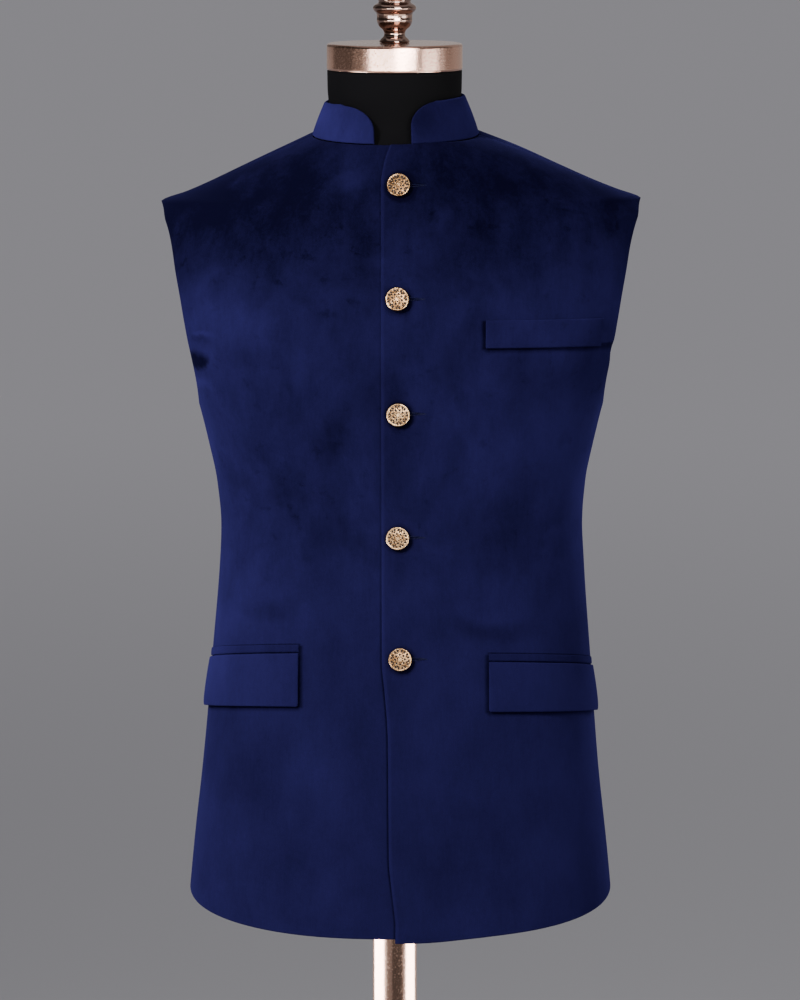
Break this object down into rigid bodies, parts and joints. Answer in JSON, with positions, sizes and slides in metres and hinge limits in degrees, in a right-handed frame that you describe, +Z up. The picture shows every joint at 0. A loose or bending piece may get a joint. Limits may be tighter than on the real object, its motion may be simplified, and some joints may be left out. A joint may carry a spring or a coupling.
{
  "type": "nehru jacket on a dress form",
  "caption": "Sleeveless velvet jacket with a stand collar, buttoned front, welt and flap pockets, on a limbless dress form with a pole stand.",
  "frame": {"origin": "on the floor, under the middle of the jacket; the stand's pole is 5 mm towards -X of it", "axes": "+Z up, the front of the jacket faces -Y, +X is the wearer's left"},
  "size_m": [0.4456, 0.38, 1.6508],
  "materials": {
    "navy_velvet": "short pile, deep blue with brighter brushed areas",
    "antique_brass": "pierced, worn, dark in the recesses",
    "black_jersey": "matte",
    "rose_copper": "polished rose-gold plating"
  },
  "bodies": {
    "root": {"right_front": "navy_velvet", "left_front": "navy_velvet", "back": "navy_velvet", "collar": "navy_velvet", "breast_welt": "navy_velvet", "jet_right": "navy_velvet", "jet_left": "navy_velvet", "flap_right": "navy_velvet", "flap_left": "navy_velvet", "button_1": "antique_brass", "button_2": "antique_brass", "button_3": "antique_brass", "button_4": "antique_brass", "button_5": "antique_brass", "form_torso": "black_jersey", "neck_cap": "rose_copper", "finial": "rose_copper", "pole": "rose_copper", "stand_base": "rose_copper"}
  },
  "joints": []
}
